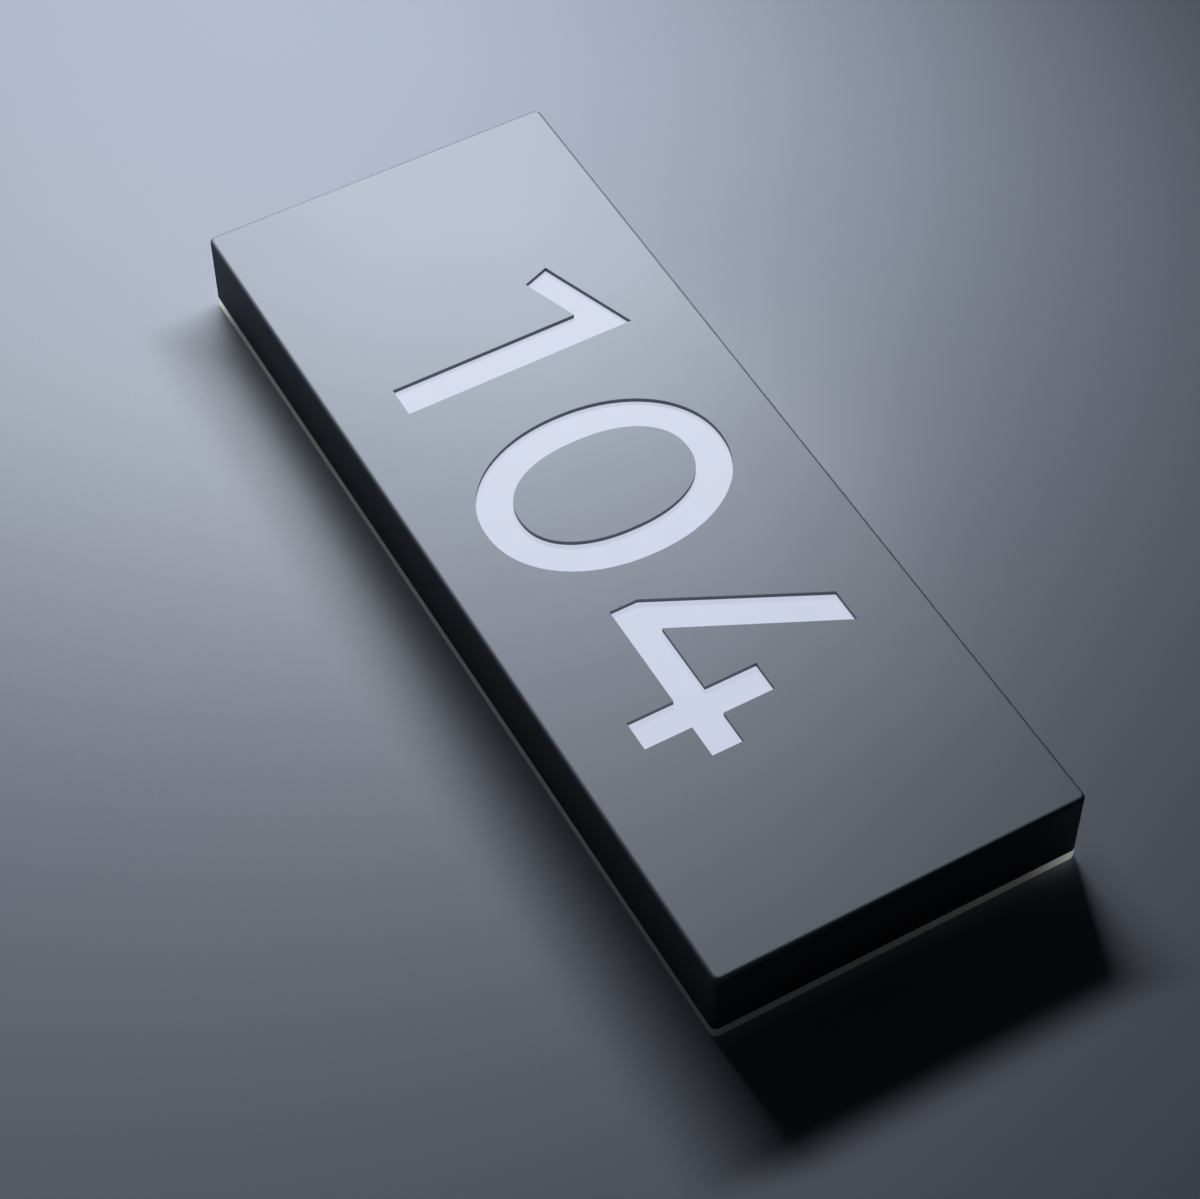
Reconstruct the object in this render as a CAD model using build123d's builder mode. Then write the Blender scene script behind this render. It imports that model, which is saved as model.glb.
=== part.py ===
from build123d import *
from math import cos, pi, radians, sin, tan
import os

os.makedirs("parts", exist_ok=True)

# Illuminated house number sign, in millimetres.
# The sign lies on its back. The wall plane is z = 0 and the face looks along +Z,
# the number reads along +X and its digits stand up along +Y.
# The origin is the centre of the wall plate's back face.

# ---------------------------------------------------------------- overall sizes
# Length and width follow from the digits, the light box round them and what stands beside it.
housing_depth = 24.5
corner_radius = 2.0
face_edge_round = 1.2

# ---------------------------------------------------------------- clear wall plate
plate_thickness = 4.0
plate_edge_break = 0.3
wall_screw_spacing_x = 180.0
wall_screw_spacing_y = 80.0
wall_screw_hole_radius = 2.25
wall_screw_head_radius = 4.5
cable_hole_radius = 10.0

# ---------------------------------------------------------------- housing
face_thickness = 1.5
side_wall = 4.0
lip_wall = 2.0
rebate_corner = 1.5
cavity_corner = 1.0
boss_hole_depth = 9.0

# ---------------------------------------------------------------- digits
# Heights are measured from the middle of the face, along +Y.
base_line = -36.6
cap_line = 35.9

one_stem_left = -67.4
one_stem_right = -56.9
one_tip_line = 37.4
one_flag_angle = 20.3
one_flag_length = 33.6
one_flag_stroke = 9.1

zero_centre_x = -6.3
zero_centre_y = -0.3
zero_half_width = 29.0
zero_half_height = 38.2
zero_squareness = 2.1
counter_half_width = 17.9
counter_half_height = 27.4
counter_squareness = 2.22
oval_points = 36

four_left = 34.4
four_right = 89.8
four_stem_left = 69.3
four_stem_right = 79.2
four_bar_bottom = -22.0
four_bar_top = -12.2
four_riser_top = 4.0
four_shoulder_line = -13.2
four_top_left = 59.2
four_top_right = 70.3
four_inner_corner = 46.5

# ---------------------------------------------------------------- light box
diffuser_thickness = 3.0
diffuser_clearance = 0.25
light_gap = 9.5
light_margin_x = 6.2
light_margin_y = 6.5
light_side_gap = 8.0
led_screw_inset = 7.0
light_standoff_radius = 3.5
frame_wall = 3.5
frame_rim = 1.5
circuit_thickness = 1.6
led_board_end = 9.0
led_board_corner = 2.0
led_length = 3.5
led_width = 2.8
led_height = 0.7
led_pitch = 16.0
led_columns = 11
led_rows = 5

# ---------------------------------------------------------------- rear cover
cover_thickness = 2.0
cover_recess = 1.6
cover_clearance = 0.25
gasket_thickness = 1.2
cover_screw_inset_x = 7.0
cover_screw_inset_y = 3.5
cover_rib_thickness = 2.0
cover_rib_inset = 13.0
cover_rib_spacing = 90.0

# ---------------------------------------------------------------- magnets and locating pins
magnet_inset_x = 22.0
magnet_inset_y = 17.0
magnet_radius = 7.5
magnet_height = 3.9
magnet_pocket_wall = 2.0
magnet_clearance = 0.05
magnet_lift = 0.3
strike_radius = 8.0
strike_thickness = 1.5
strike_clearance = 0.1
pin_inset = 5.0
pin_radius = 2.0
pin_reach = 5.5
pin_depth = 3.2
pin_tip = 0.6
pin_seat_clearance = 0.02
pin_running_clearance = 0.05
pin_bush_wall = 2.0
pin_bush_height = 5.0

# ---------------------------------------------------------------- lead inlet
inlet_from_driver = 5.0
lead_bore_radius = 2.8
grommet_neck_radius = 6.0
grommet_flange_radius = 7.6
grommet_rear_flange = 1.1
grommet_front_flange = 1.4
grommet_front_taper = 25.0

# ---------------------------------------------------------------- driver
driver_board_length = 30.0
driver_board_width = 48.0
driver_gap = 3.0
driver_end_gap = 8.0
driver_standoff = 5.4
driver_screw_inset = 3.5
driver_standoff_radius = 3.0
coil_side = 9.0
coil_height = 5.0
coil_corner = 1.5
coil_edge_round = 0.5
coil_inset_x = 10.0
coil_inset_y = 9.0
capacitor_radius = 3.15
capacitor_height = 7.5
capacitor_base = 1.2
capacitor_base_corner = 0.8
capacitor_rim_round = 0.4
capacitor_inset_x = 9.5
capacitor_inset_y = 9.5
chip_length = 5.0
chip_width = 4.0
chip_height = 1.5
chip_inset_x = 9.0
chip_inset_y = 9.0
chip_leg_reach = 1.0
chip_leg_pitch = 1.27
chip_leg_width = 0.42
chip_leg_height = 0.4
chip_legs_per_side = 4
diode_length = 4.3
diode_width = 2.6
diode_height = 2.1
diode_inset_x = 4.0
diode_pitch = 3.6
link_wire_radius = 0.6
link_wire_spacing = 4.0
link_wire_y = 14.0
link_wire_inset = 2.0
link_wire_straight = 0.1

# ---------------------------------------------------------------- terminal block
terminal_length = 12.0
terminal_width = 14.0
terminal_height = 10.5
terminal_inset_x = 7.5
pole_pitch = 6.2
button_side = 3.6
button_height = 4.6
button_proud = 1.2
button_travel = 1.0
button_clearance = 0.15
button_edge_round = 0.3
button_offset = 2.2
wire_port_radius = 1.6
wire_port_rise = 2.0
contact_thickness = 0.6
contact_leg_radius = 0.5
contact_leg_proud = 0.8

# ---------------------------------------------------------------- screws
m3_radius = 1.5
m3_hole_radius = 1.55
m3_clear_radius = 1.65
m3_pan_radius = 2.8
m3_pan_height = 1.8
m3_countersunk_radius = 3.0
m3_boss_radius = 4.0
m25_radius = 1.25
m25_hole_radius = 1.3
m25_clear_radius = 1.4
m25_pan_radius = 2.3
m25_pan_height = 1.4
cover_screw_length = 9.0
board_screw_length = 8.0
driver_screw_length = 5.0
screw_slot_width = 0.7
screw_slot_depth = 0.8
pan_head_round = 0.5

# ---------------------------------------------------------------- levels and outlines
plate_front = plate_thickness
face_front = plate_front + housing_depth
face_back = face_front - face_thickness
diffuser_back = face_back - diffuser_thickness
led_board_front = diffuser_back - light_gap
led_board_back = led_board_front - circuit_thickness
cover_back = plate_front + cover_recess
cover_front = cover_back + cover_thickness
ledge = cover_front + gasket_thickness
magnet_back = plate_front + magnet_lift
driver_front = face_back - driver_standoff
driver_back = driver_front - circuit_thickness

digits_half_height = zero_half_height + abs(zero_centre_y)
light_box_length = 2 * (four_right + light_margin_x)
light_box_width = 2 * (digits_half_height + light_margin_y)
led_board_length = light_box_length + 2 * led_board_end
driver_edge = led_board_length / 2 + driver_gap
driver_end = driver_edge + driver_board_length
cavity_length = 2 * (driver_end + driver_end_gap)
cavity_width = light_box_width + 2 * light_side_gap
sign_length = cavity_length + 2 * side_wall
sign_width = cavity_width + 2 * side_wall
rebate_length = sign_length - 2 * lip_wall
rebate_width = sign_width - 2 * lip_wall
cover_length = rebate_length - 2 * cover_clearance
cover_width = rebate_width - 2 * cover_clearance
cover_corner = rebate_corner - cover_clearance
strike_back = plate_front - strike_thickness
pin_back = plate_front - pin_depth
pin_front = plate_front + pin_reach
magnet_pocket_radius = magnet_radius + magnet_clearance
magnet_cup_radius = magnet_pocket_radius + magnet_pocket_wall
cover_screw_x = cavity_length / 2 - cover_screw_inset_x
cover_screw_y = cavity_width / 2 - cover_screw_inset_y
magnet_x = cavity_length / 2 - magnet_inset_x
magnet_y = cavity_width / 2 - magnet_inset_y
pin_x = cavity_length / 2 - pin_inset
cover_rib_length = cavity_width - 2 * cover_rib_inset
frame_inner_length = light_box_length - 2 * frame_wall
frame_inner_width = light_box_width - 2 * frame_wall
frame_seat_length = light_box_length - 2 * frame_rim
frame_seat_width = light_box_width - 2 * frame_rim
led_screw_x = (light_box_length + led_board_length) / 4
led_screw_y = light_box_width / 2 - led_screw_inset
driver_board_x = (driver_edge + driver_end) / 2
driver_side = driver_board_width / 2
inlet_x = driver_edge + inlet_from_driver
driver_screw_spacing_x = driver_board_length - 2 * driver_screw_inset
driver_screw_spacing_y = driver_board_width - 2 * driver_screw_inset
terminal_back = driver_back - terminal_height
button_back = terminal_back - button_proud
button_front = button_back + button_height
contact_back = button_front + button_travel + button_clearance
contact_front = contact_back + contact_thickness
wire_port_level = contact_front + wire_port_rise
terminal_centre = driver_end - terminal_inset_x
button_centre = terminal_centre + button_offset
terminal_face = terminal_centre - terminal_length / 2

face_places = [(x, y) for x in (-1, 1) for y in (-1, 1)]
cover_screw_places = [
    (column * cover_screw_x, row * cover_screw_y)
    for column in (-1, 0, 1)
    for row in (-1, 1)
]
led_screw_places = [(end * led_screw_x, row * led_screw_y) for end in (-1, 1) for row in (-1, 0, 1)]
magnet_places = [(x * magnet_x, y * magnet_y) for x, y in face_places]
wall_screw_places = [(x * wall_screw_spacing_x / 2, y * wall_screw_spacing_y / 2) for x, y in face_places]
pin_places = [(end * pin_x, 0) for end in (-1, 1)]
driver_screw_places = [
    (driver_board_x + x * driver_screw_spacing_x / 2, y * driver_screw_spacing_y / 2)
    for x, y in face_places
]
pole_places = [(button_centre, row * pole_pitch / 2) for row in (-1, 1)]
link_wire_start = led_board_length / 2 - link_wire_inset
link_wire_end = driver_edge + link_wire_inset
link_wire_bend = (link_wire_end - link_wire_start) / 2 - link_wire_straight
link_wire_rows = [link_wire_y + row * link_wire_spacing / 2 for row in (-1, 1)]


def finish(part, label):
    """Names a finished piece and writes it."""
    part.label = label
    export_step(part, f"parts/{label}.step")


# ---------------------------------------------------------------- digit outlines
def superellipse(half_width, half_height, squareness):
    """A closed oval, a little squarer than an ellipse, as one smooth loop through points on it."""
    points = []
    for step in range(oval_points):
        angle = 2 * pi * step / oval_points
        across = abs(cos(angle) / half_width) ** squareness
        along = abs(sin(angle) / half_height) ** squareness
        reach = (across + along) ** (-1 / squareness)
        points.append((reach * cos(angle), reach * sin(angle)))
    with BuildSketch() as oval:
        with BuildLine():
            Spline(*points, periodic=True)
        make_face()
    return oval.sketch


def digit_one():
    """A straight stem with a flag that falls away to the left from its tip."""
    angle = radians(one_flag_angle)
    tip = (one_stem_right, one_tip_line)
    flag_top = (tip[0] - one_flag_length * cos(angle), tip[1] - one_flag_length * sin(angle))
    flag_foot = (flag_top[0] + one_flag_stroke * sin(angle), flag_top[1] - one_flag_stroke * cos(angle))
    crook = (one_stem_left, flag_foot[1] + (one_stem_left - flag_foot[0]) * tan(angle))
    with BuildSketch() as digit:
        with BuildLine():
            Polyline(
                tip,
                flag_top,
                flag_foot,
                crook,
                (one_stem_left, base_line),
                (one_stem_right, base_line),
                close=True,
            )
        make_face()
    return digit.sketch


def digit_zero():
    with BuildSketch() as digit:
        with Locations((zero_centre_x, zero_centre_y)):
            add(superellipse(zero_half_width, zero_half_height, zero_squareness))
    return digit.sketch


def zero_middle():
    with BuildSketch() as digit:
        with Locations((zero_centre_x, zero_centre_y)):
            add(superellipse(counter_half_width, counter_half_height, counter_squareness))
    return digit.sketch


def digit_four():
    """An open four: a slanted stroke, a cross bar and a short stem that crosses it."""
    with BuildSketch() as digit:
        with BuildLine():
            Polyline(
                (four_left, four_bar_bottom),
                (four_left, four_shoulder_line),
                (four_top_left, cap_line),
                (four_top_right, cap_line),
                (four_inner_corner, four_bar_top),
                (four_stem_left, four_bar_top),
                (four_stem_left, four_riser_top),
                (four_stem_right, four_riser_top),
                (four_stem_right, four_bar_top),
                (four_right, four_bar_top),
                (four_right, four_bar_bottom),
                (four_stem_right, four_bar_bottom),
                (four_stem_right, base_line),
                (four_stem_left, base_line),
                (four_stem_left, four_bar_bottom),
                close=True,
            )
        make_face()
    return digit.sketch


# ---------------------------------------------------------------- screws
def pan_screw(radius, length, head_radius, head_height):
    """A cross-slot pan screw that points along +Z, with its head's seat at z = 0."""
    with BuildPart() as screw:
        Cylinder(radius, length, align=(Align.CENTER, Align.CENTER, Align.MIN))
        Cylinder(head_radius, head_height, align=(Align.CENTER, Align.CENTER, Align.MAX))
        head_rim = screw.edges().filter_by(GeomType.CIRCLE).sort_by(Axis.Z)[0]
        fillet(head_rim, pan_head_round)
        with BuildSketch(Plane.XY.offset(-head_height)):
            Rectangle(head_radius, screw_slot_width)
            Rectangle(screw_slot_width, head_radius)
        extrude(amount=screw_slot_depth, mode=Mode.SUBTRACT)
    return screw.part


def countersunk_screw(radius, length, head_radius):
    """A cross-slot countersunk screw that points along +Z, with its head's flat at z = 0."""
    with BuildPart() as screw:
        Cylinder(radius, length, align=(Align.CENTER, Align.CENTER, Align.MIN))
        Cone(head_radius, radius, head_radius - radius, align=(Align.CENTER, Align.CENTER, Align.MIN))
        with BuildSketch(Plane.XY):
            Rectangle(head_radius, screw_slot_width)
            Rectangle(screw_slot_width, head_radius)
        extrude(amount=screw_slot_depth, mode=Mode.SUBTRACT)
    return screw.part


# ---------------------------------------------------------------- wall side
# The clear plate is screwed to the wall and shows as a thin band under the housing.
with BuildPart() as wall_plate:
    with BuildSketch():
        RectangleRounded(sign_length, sign_width, corner_radius)
    extrude(amount=plate_thickness)
    rims = wall_plate.faces().filter_by(Axis.Z).edges()
    chamfer(rims, plate_edge_break)
    with BuildSketch():
        with Locations((inlet_x, 0)):
            Circle(cable_hole_radius)
    extrude(amount=plate_thickness, mode=Mode.SUBTRACT)
    with Locations(Plane.XY.offset(plate_front)):
        with Locations(*wall_screw_places):
            CounterSinkHole(wall_screw_hole_radius, wall_screw_head_radius)
    with BuildSketch(Plane.XY.offset(strike_back)):
        with Locations(*magnet_places):
            Circle(strike_radius + strike_clearance)
    extrude(amount=strike_thickness, mode=Mode.SUBTRACT)
    with BuildSketch(Plane.XY.offset(pin_back)):
        with Locations(*pin_places):
            Circle(pin_radius + pin_seat_clearance)
    extrude(amount=pin_depth, mode=Mode.SUBTRACT)
finish(wall_plate.part, "wall_plate")

# Steel discs bonded into the plate, one under each magnet.
with BuildPart() as strike_discs:
    with BuildSketch(Plane.XY.offset(strike_back)):
        with Locations(*magnet_places):
            Circle(strike_radius)
    extrude(amount=strike_thickness)
finish(strike_discs.part, "strike_discs")

# Two steel pins stand in the plate and line the sign up as it is pushed on.
with BuildPart() as locating_pins:
    with BuildSketch(Plane.XY.offset(pin_back)):
        with Locations(*pin_places):
            Circle(pin_radius)
    extrude(amount=pin_front - pin_back)
    tips = locating_pins.faces().filter_by(Axis.Z).group_by(Axis.Z)[-1].edges()
    chamfer(tips, pin_tip)
finish(locating_pins.part, "locating_pins")

# ---------------------------------------------------------------- housing and digits
# One deep metal shell: its face has the digits cut through, its back is a stepped mouth.
with BuildPart() as front_housing:
    with BuildSketch(Plane.XY.offset(plate_front)):
        RectangleRounded(sign_length, sign_width, corner_radius)
    extrude(amount=housing_depth)
    face_rim = front_housing.faces().sort_by(Axis.Z)[-1].edges()
    fillet(face_rim, face_edge_round)
    with BuildSketch(Plane.XY.offset(plate_front)):
        RectangleRounded(cavity_length, cavity_width, cavity_corner)
    extrude(amount=face_back - plate_front, mode=Mode.SUBTRACT)
    with BuildSketch(Plane.XY.offset(plate_front)):
        RectangleRounded(rebate_length, rebate_width, rebate_corner)
    extrude(amount=ledge - plate_front, mode=Mode.SUBTRACT)
    with BuildSketch(Plane.XY.offset(ledge)):
        with Locations(*cover_screw_places):
            Circle(m3_boss_radius)
    extrude(amount=face_back - ledge)
    with BuildSketch(Plane.XY.offset(ledge)):
        with Locations(*cover_screw_places):
            Circle(m3_hole_radius)
    extrude(amount=boss_hole_depth, mode=Mode.SUBTRACT)
    with BuildSketch(Plane.XY.offset(face_back)):
        add(digit_one())
        add(digit_zero())
        add(digit_four())
    extrude(amount=face_thickness, mode=Mode.SUBTRACT)
finish(front_housing.part, "front_housing")

# The middle of the 0 is a loose island, bonded to the diffuser level with the face.
with BuildPart() as zero_counter:
    with BuildSketch(Plane.XY.offset(face_back)):
        add(zero_middle())
    extrude(amount=face_thickness)
finish(zero_counter.part, "zero_counter")

# ---------------------------------------------------------------- light box
# Opal sheet that lies against the back of the face and closes the digits.
with BuildPart() as digit_diffuser:
    with BuildSketch(Plane.XY.offset(diffuser_back)):
        Rectangle(frame_seat_length - 2 * diffuser_clearance, frame_seat_width - 2 * diffuser_clearance)
    extrude(amount=diffuser_thickness)
finish(digit_diffuser.part, "digit_diffuser")

# White frame between board and face: it seats the diffuser and keeps the light in.
with BuildPart() as light_frame:
    with BuildSketch(Plane.XY.offset(led_board_front)):
        Rectangle(light_box_length, light_box_width)
        Rectangle(frame_inner_length, frame_inner_width, mode=Mode.SUBTRACT)
    extrude(amount=face_back - led_board_front)
    with BuildSketch(Plane.XY.offset(diffuser_back)):
        Rectangle(frame_seat_length, frame_seat_width)
    extrude(amount=diffuser_thickness, mode=Mode.SUBTRACT)
finish(light_frame.part, "light_frame")

with BuildPart() as led_board:
    with BuildSketch(Plane.XY.offset(led_board_back)):
        RectangleRounded(led_board_length, light_box_width, led_board_corner)
        with Locations(*led_screw_places):
            Circle(m3_clear_radius, mode=Mode.SUBTRACT)
    extrude(amount=circuit_thickness)
finish(led_board.part, "led_board")

with BuildPart() as leds:
    with BuildSketch(Plane.XY.offset(led_board_front)):
        with GridLocations(led_pitch, led_pitch, led_columns, led_rows):
            Rectangle(led_length, led_width)
    extrude(amount=led_height)
finish(leds.part, "leds")

with BuildPart() as led_board_screws:
    with Locations(Plane.XY.offset(led_board_back)):
        with Locations(*led_screw_places):
            add(pan_screw(m3_radius, board_screw_length, m3_pan_radius, m3_pan_height))
finish(led_board_screws.part, "led_board_screws")

# ---------------------------------------------------------------- driver
# Small board beside the light box; its parts hang from its back, towards the rear cover.
with BuildPart() as driver_board:
    with BuildSketch(Plane.XY.offset(driver_back)):
        with Locations((driver_board_x, 0)):
            Rectangle(driver_board_length, driver_board_width)
        with Locations(*driver_screw_places):
            Circle(m25_clear_radius, mode=Mode.SUBTRACT)
        with Locations(*pole_places):
            Circle(contact_leg_radius, mode=Mode.SUBTRACT)
    extrude(amount=circuit_thickness)
finish(driver_board.part, "driver_board")

with BuildPart() as driver_screws:
    with Locations(Plane.XY.offset(driver_back)):
        with Locations(*driver_screw_places):
            add(pan_screw(m25_radius, driver_screw_length, m25_pan_radius, m25_pan_height))
finish(driver_screws.part, "driver_screws")

with BuildPart() as driver_coil:
    with BuildSketch(Plane.XY.offset(driver_back)):
        with Locations((driver_edge + coil_inset_x, driver_side - coil_inset_y)):
            RectangleRounded(coil_side, coil_side, coil_corner)
    extrude(amount=-coil_height)
    fillet(driver_coil.faces().sort_by(Axis.Z)[0].edges(), coil_edge_round)
finish(driver_coil.part, "driver_coil")

capacitor_places = [
    (driver_end - capacitor_inset_x, row * (driver_side - capacitor_inset_y)) for row in (-1, 1)
]
with BuildPart() as driver_capacitors:
    with BuildSketch(Plane.XY.offset(driver_back)):
        with Locations(*capacitor_places):
            RectangleRounded(2 * capacitor_radius, 2 * capacitor_radius, capacitor_base_corner)
    extrude(amount=-capacitor_base)
    with BuildSketch(Plane.XY.offset(driver_back - capacitor_base)):
        with Locations(*capacitor_places):
            Circle(capacitor_radius)
    extrude(amount=capacitor_base - capacitor_height)
    fillet(driver_capacitors.faces().group_by(Axis.Z)[0].edges(), capacitor_rim_round)
finish(driver_capacitors.part, "driver_capacitors")

with BuildPart() as driver_chip:
    with BuildSketch(Plane.XY.offset(driver_back)):
        with Locations((driver_edge + chip_inset_x, chip_inset_y - driver_side)):
            with GridLocations(chip_leg_pitch, 0, chip_legs_per_side, 1):
                Rectangle(chip_leg_width, chip_width + 2 * chip_leg_reach)
    extrude(amount=-chip_leg_height)
    with BuildSketch(Plane.XY.offset(driver_back)):
        with Locations((driver_edge + chip_inset_x, chip_inset_y - driver_side)):
            Rectangle(chip_length, chip_width)
    extrude(amount=-chip_height)
finish(driver_chip.part, "driver_chip")

# Four diodes, so that the supply may be joined either way round.
with BuildPart() as driver_diodes:
    with BuildSketch(Plane.XY.offset(driver_back)):
        with Locations((driver_edge + diode_inset_x, 0)):
            with GridLocations(0, diode_pitch, 1, 4):
                Rectangle(diode_length, diode_width)
    extrude(amount=-diode_height)
finish(driver_diodes.part, "driver_diodes")

# Round threaded standoffs bonded to the back of the face carry the two boards.
with BuildPart() as light_standoffs:
    with BuildSketch(Plane.XY.offset(led_board_front)):
        with Locations(*led_screw_places):
            Circle(light_standoff_radius)
            Circle(m3_hole_radius, mode=Mode.SUBTRACT)
    extrude(amount=face_back - led_board_front)
finish(light_standoffs.part, "light_standoffs")

with BuildPart() as driver_standoffs:
    with BuildSketch(Plane.XY.offset(driver_front)):
        with Locations(*driver_screw_places):
            Circle(driver_standoff_radius)
            Circle(m25_hole_radius, mode=Mode.SUBTRACT)
    extrude(amount=driver_standoff)
finish(driver_standoffs.part, "driver_standoffs")

# Two bare-ended wires bridge the two boards, each a U that ends on a solder pad.
with BuildPart() as link_leads:
    for row in link_wire_rows:
        start = (link_wire_start, row)
        end = (link_wire_end, row)
        turn_level = led_board_back - link_wire_bend - link_wire_straight
        with BuildLine() as route:
            FilletPolyline(
                (*start, led_board_back),
                (*start, turn_level),
                (*end, turn_level),
                (*end, driver_back),
                radius=link_wire_bend,
            )
        with BuildSketch(Plane((*start, led_board_back), z_dir=(0, 0, -1))):
            Circle(link_wire_radius)
        sweep(path=route.line)
finish(link_leads.part, "link_leads")

# ---------------------------------------------------------------- terminal block
# Push-button spring terminals for the two supply wires, worked from the open back.
with BuildPart() as terminal_block:
    with BuildSketch(Plane.XY.offset(terminal_back)):
        with Locations((terminal_centre, 0)):
            Rectangle(terminal_length, terminal_width)
    extrude(amount=terminal_height)
    with BuildSketch(Plane.XY.offset(terminal_back)):
        with Locations(*pole_places):
            Rectangle(button_side + 2 * button_clearance, button_side + 2 * button_clearance)
    extrude(amount=contact_front - terminal_back, mode=Mode.SUBTRACT)
    with BuildSketch(Plane.XY.offset(contact_front)):
        with Locations(*pole_places):
            Circle(contact_leg_radius)
    extrude(amount=driver_back - contact_front, mode=Mode.SUBTRACT)
    with BuildSketch(Plane((terminal_face, 0, wire_port_level), x_dir=(0, 1, 0), z_dir=(1, 0, 0))):
        with GridLocations(pole_pitch, 0, 2, 1):
            Circle(wire_port_radius)
    extrude(amount=button_centre - contact_leg_radius - terminal_face, mode=Mode.SUBTRACT)
finish(terminal_block.part, "terminal_block")

with BuildPart() as terminal_contacts:
    with BuildSketch(Plane.XY.offset(contact_back)):
        with Locations(*pole_places):
            Rectangle(button_side, button_side)
    extrude(amount=contact_thickness)
    with BuildSketch(Plane.XY.offset(contact_front)):
        with Locations(*pole_places):
            Circle(contact_leg_radius)
    extrude(amount=driver_front + contact_leg_proud - contact_front)
finish(terminal_contacts.part, "terminal_contacts")

for number, place in enumerate(pole_places, start=1):
    with BuildPart() as terminal_button:
        with BuildSketch(Plane.XY.offset(button_back)):
            with Locations(place):
                Rectangle(button_side, button_side)
        extrude(amount=button_height)
        fillet(terminal_button.faces().sort_by(Axis.Z)[0].edges(), button_edge_round)
    finish(terminal_button.part, f"terminal_button_{number}")

# ---------------------------------------------------------------- rear cover
# Moulded cover in the housing's mouth: it carries the magnets, the bushes and the grommet,
# and two ribs that hold the light board against its standoffs.
with BuildPart() as rear_cover:
    with BuildSketch(Plane.XY.offset(cover_back)):
        RectangleRounded(cover_length, cover_width, cover_corner)
    extrude(amount=cover_thickness)
    with BuildSketch(Plane.XY.offset(magnet_back)):
        with Locations(*magnet_places):
            Circle(magnet_cup_radius)
    extrude(amount=magnet_height + magnet_pocket_wall)
    with BuildSketch(Plane.XY.offset(cover_back)):
        with Locations(*pin_places):
            Circle(pin_radius + pin_running_clearance + pin_bush_wall)
    extrude(amount=pin_bush_height)
    with BuildSketch(Plane.XY.offset(cover_front)):
        with GridLocations(cover_rib_spacing, 0, 2, 1):
            Rectangle(cover_rib_thickness, cover_rib_length)
    extrude(amount=led_board_back - cover_front)
    with BuildSketch(Plane.XY.offset(magnet_back)):
        with Locations(*magnet_places):
            Circle(magnet_pocket_radius)
    extrude(amount=magnet_height, mode=Mode.SUBTRACT)
    with BuildSketch(Plane.XY.offset(cover_back)):
        with Locations(*pin_places):
            Circle(pin_radius + pin_running_clearance)
        with Locations((inlet_x, 0)):
            Circle(grommet_neck_radius)
    extrude(amount=pin_bush_height, mode=Mode.SUBTRACT)
    with Locations(Plane.XY.offset(cover_back)):
        with Locations(*[Location((x, y, 0), (180, 0, 0)) for x, y in cover_screw_places]):
            CounterSinkHole(m3_clear_radius, m3_countersunk_radius + cover_clearance, depth=cover_thickness)
finish(rear_cover.part, "rear_cover")

with BuildPart() as magnets:
    with BuildSketch(Plane.XY.offset(magnet_back)):
        with Locations(*magnet_places):
            Circle(magnet_radius)
    extrude(amount=magnet_height)
finish(magnets.part, "magnets")

# Flat rubber ring on the housing's ledge, with an eyelet at each cover screw.
with BuildPart() as cover_gasket:
    with BuildSketch(Plane.XY.offset(cover_front)):
        RectangleRounded(cover_length, cover_width, cover_corner)
        RectangleRounded(cavity_length, cavity_width, cavity_corner, mode=Mode.SUBTRACT)
        with Locations(*cover_screw_places):
            Circle(m3_boss_radius)
        with Locations(*cover_screw_places):
            Circle(m3_clear_radius, mode=Mode.SUBTRACT)
    extrude(amount=gasket_thickness)
finish(cover_gasket.part, "cover_gasket")

with BuildPart() as cover_screws:
    with Locations(Plane.XY.offset(cover_back)):
        with Locations(*cover_screw_places):
            add(countersunk_screw(m3_radius, cover_screw_length, m3_countersunk_radius))
finish(cover_screws.part, "cover_screws")

# Rubber grommet where the supply lead passes through the cover.
with BuildPart() as lead_grommet:
    with BuildSketch(Plane.XY.offset(cover_back - grommet_rear_flange)):
        with Locations((inlet_x, 0)):
            Circle(grommet_flange_radius)
    extrude(amount=grommet_rear_flange)
    with BuildSketch(Plane.XY.offset(cover_back)):
        with Locations((inlet_x, 0)):
            Circle(grommet_neck_radius)
    extrude(amount=cover_thickness)
    with BuildSketch(Plane.XY.offset(cover_front)):
        with Locations((inlet_x, 0)):
            Circle(grommet_flange_radius)
    extrude(amount=grommet_front_flange, taper=grommet_front_taper)
    with BuildSketch(Plane.XY.offset(cover_back - grommet_rear_flange)):
        with Locations((inlet_x, 0)):
            Circle(lead_bore_radius)
    extrude(amount=grommet_rear_flange + cover_thickness + grommet_front_flange, mode=Mode.SUBTRACT)
finish(lead_grommet.part, "lead_grommet")
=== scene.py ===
"""Looks and stage of an illuminated house number sign that lies on its back on a pale table."""

from math import pi, radians

import bmesh
import bpy
import numpy as np
from bpy.props import FloatProperty, FloatVectorProperty, PointerProperty
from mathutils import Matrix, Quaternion, Vector


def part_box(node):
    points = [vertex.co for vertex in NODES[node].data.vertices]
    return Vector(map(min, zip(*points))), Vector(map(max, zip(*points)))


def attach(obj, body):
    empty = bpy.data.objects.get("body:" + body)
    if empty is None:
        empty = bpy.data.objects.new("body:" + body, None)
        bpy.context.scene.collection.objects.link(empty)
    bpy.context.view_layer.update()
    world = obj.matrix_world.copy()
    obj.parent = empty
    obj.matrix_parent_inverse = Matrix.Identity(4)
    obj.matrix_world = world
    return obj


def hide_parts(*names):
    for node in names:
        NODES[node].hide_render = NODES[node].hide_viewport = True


bl_info = {
    "name": "House number sign",
    "version": (1, 0, 0),
    "blender": (4, 5, 0),
    "location": "3D View > Sidebar > Sign",
    "description": "Finishes every piece of an illuminated house number sign and sets its stage",
    "category": "Object",
}

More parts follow.
